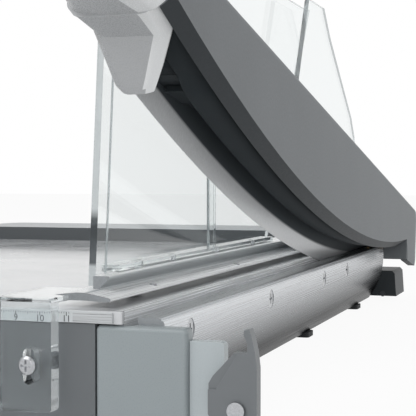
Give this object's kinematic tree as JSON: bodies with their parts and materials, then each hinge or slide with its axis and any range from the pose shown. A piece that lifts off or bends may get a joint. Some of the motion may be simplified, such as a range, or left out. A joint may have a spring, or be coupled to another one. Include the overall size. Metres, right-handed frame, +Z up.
{
  "type": "lever paper trimmer",
  "caption": "Desk-top lever paper trimmer: curved blade on a hollow arm beside a fixed blade, with a sprung clamp, a clear guard, a rear fence and a front latch.",
  "frame": {"origin": "on the desk, below the middle of the machine's outline at rest", "axes": "+X towards the lever side, +Y from the handle to the pivot and the rear fence, +Z up"},
  "size_m": [0.3722, 0.6552, 0.214],
  "materials": {
    "table_grey": "satin light grey powder coat",
    "pan_grey": "fine moulded texture",
    "panel_grey": "fine moulded texture",
    "clear_strip": "clear, polished",
    "fence_dark": "satin",
    "screw_steel": "bright zinc",
    "screw_black": "blackened",
    "spring_steel": "drawn wire",
    "blade_steel": "ground, bright bevel",
    "rail_aluminium": "brushed along its length, anodised",
    "clamp_aluminium": "brushed along its length, anodised",
    "cap_grey": "smooth satin moulding",
    "cast_black": "satin black casting",
    "rubber_black": "matt",
    "cover_grey": "satin powder coat",
    "beam_grey": "satin",
    "inner_dark": "matt",
    "bush_brass": "turned",
    "handle_light": "satin moulding",
    "latch_grey": "stamped, satin",
    "clear_guard": "clear acrylic, polished edges",
    "pad_soft": "soft, matt"
  },
  "bodies": {
    "base": {"table_plate": "table_grey", "base_pan": "pan_grey", "front_panel": "panel_grey", "front_scale_strip": "clear_strip", "rear_fence": "fence_dark", "fence_screws": "screw_steel", "lower_blade": "blade_steel", "lower_blade_screws": "screw_steel", "side_rail": "rail_aluminium", "rail_screws": "screw_steel", "front_end_cap": "cap_grey", "rear_pivot_block": "cast_black", "pivot_block_screws": "screw_black", "pivot_bolt": "screw_steel", "pivot_nut": "screw_steel", "rubber_feet": "rubber_black", "foot_screws": "screw_steel", "guide_screw": "screw_steel", "clamp_guide_pins": "screw_steel", "clamp_springs": "spring_steel", "latch_bracket": "cap_grey", "latch_pin": "screw_steel", "guard_rear_pane": "clear_guard", "rear_pane_screws": "screw_steel"},
    "blade_arm": {"arm_cover": "cover_grey", "arm_beam": "beam_grey", "arm_inner_cover": "inner_dark", "upper_blade": "blade_steel", "blade_screws": "screw_steel", "pivot_bush": "bush_brass", "arm_bumper": "rubber_black", "handle_grip": "handle_light", "handle_screws": "screw_steel"},
    "clamp": {"clamp_bar": "clamp_aluminium", "clamp_pad": "pad_soft", "guard_pane": "clear_guard", "guard_foot": "clear_guard", "guard_screws": "screw_steel", "front_bracket": "clear_guard"},
    "latch": {"latch_hook": "latch_grey"}
  },
  "joints": [
    {"name": "arm_hinge", "type": "hinge", "parent": "base", "child": "blade_arm", "pos_m": [0.13385, 0.29948, 0.045], "axis": [-1, 0, 0], "range_deg": [-10.4, 38]},
    {"name": "clamp_slide", "type": "slide", "parent": "base", "child": "clamp", "axis": [0, 0, -1], "range_m": [0, 0.002], "stiffness_N_per_m": 2000, "springref_m": -0.008, "deforming": ["clamp_springs"]},
    {"name": "latch_hinge", "type": "hinge", "parent": "base", "child": "latch", "pos_m": [0.17885, -0.19752, 0.013], "axis": [0, 1, 0], "range_deg": [0, 20], "stiffness_Nm_per_rad": 0.05, "springref_deg": -17.19}
  ]
}
